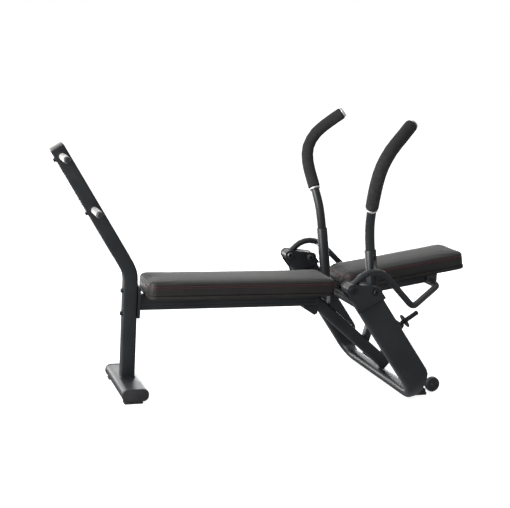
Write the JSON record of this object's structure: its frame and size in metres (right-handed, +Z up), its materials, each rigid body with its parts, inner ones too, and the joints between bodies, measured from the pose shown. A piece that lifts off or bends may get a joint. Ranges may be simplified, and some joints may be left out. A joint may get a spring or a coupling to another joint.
{
  "type": "abdominal crunch bench",
  "caption": "Black steel exercise bench with a padded seat, pivoting padded back rest with raised handles, foot bars on a leaning post, and transport wheels.",
  "frame": {"origin": "on the floor, under the middle of the whole bench", "axes": "+X from the foot bars towards the back rest, +Y towards the left of a person who sits facing the foot bars, +Z up"},
  "size_m": [1.6934, 0.7868, 1.0979],
  "materials": {
    "frame_paint": "semi-gloss black powder coat",
    "upholstery": "black vinyl with a fine grain and a stitched edge",
    "plywood": "dark backing board",
    "grip_foam": "matte foam",
    "black_plastic": "moulded, slightly textured",
    "rubber": "matte",
    "bright_steel": "bright plated",
    "zinc_steel": "dull zinc plate"
  },
  "bodies": {
    "frame": {"front_foot_tube": "frame_paint", "front_post": "frame_paint", "seat_beam": "frame_paint", "rear_leg_loop": "frame_paint", "center_beam": "frame_paint", "stop_post": "frame_paint", "cross_member": "frame_paint", "cross_member_riser": "frame_paint", "pivot_bracket_left": "frame_paint", "pivot_bracket_right": "frame_paint", "wheel_bracket_left": "frame_paint", "wheel_bracket_right": "frame_paint", "seat_pad": "upholstery", "seat_board": "plywood", "front_foot_cap_left": "black_plastic", "front_foot_cap_right": "black_plastic", "post_top_cap": "black_plastic", "foot_bar_cap_upper_left": "black_plastic", "foot_bar_cap_upper_right": "black_plastic", "foot_bar_cap_lower_left": "black_plastic", "foot_bar_cap_lower_right": "black_plastic", "front_foot_rubber_left": "rubber", "front_foot_rubber_right": "rubber", "rear_foot_rubber_left": "rubber", "rear_foot_rubber_right": "rubber", "stop_bumper": "rubber", "foot_bar_upper": "bright_steel", "foot_bar_lower": "bright_steel", "pivot_pin_left": "bright_steel", "pivot_pin_right": "bright_steel", "foot_bar_bolt_upper": "zinc_steel", "foot_bar_bolt_lower": "zinc_steel", "seat_beam_bolt_upper": "zinc_steel", "seat_beam_bolt_lower": "zinc_steel", "clamp_bolt_left": "zinc_steel", "clamp_bolt_right": "zinc_steel"},
    "arm": {"arm_loop": "frame_paint", "low_cross_tube": "frame_paint", "pad_rail_left": "frame_paint", "pad_rail_right": "frame_paint", "pad_saddle_left": "black_plastic", "pad_saddle_right": "black_plastic", "back_board": "plywood", "back_pad": "upholstery", "weight_lever": "frame_paint", "weight_horn": "bright_steel", "handle_socket_left": "frame_paint", "handle_socket_right": "frame_paint", "handle_tube_left": "frame_paint", "handle_tube_right": "frame_paint", "grip_left": "grip_foam", "grip_right": "grip_foam", "grip_ring_left": "bright_steel", "grip_ring_right": "bright_steel", "grip_end_cap_left": "bright_steel", "grip_end_cap_right": "bright_steel"},
    "wheel_left": {"wheel_left": "black_plastic"},
    "wheel_right": {"wheel_right": "black_plastic"}
  },
  "joints": [
    {"name": "arm_hinge", "type": "hinge", "parent": "frame", "child": "arm", "pos_m": [0.22362, 0, 0.464], "axis": [0, -1, 0], "range_deg": [0, 60]},
    {"name": "wheel_left_spin", "type": "hinge", "parent": "frame", "child": "wheel_left", "pos_m": [0.67162, -0.214, 0.0325], "axis": [0, 1, 0], "continuous": true},
    {"name": "wheel_right_spin", "type": "hinge", "parent": "frame", "child": "wheel_right", "pos_m": [0.67162, 0.214, 0.0325], "axis": [0, 1, 0], "continuous": true}
  ]
}
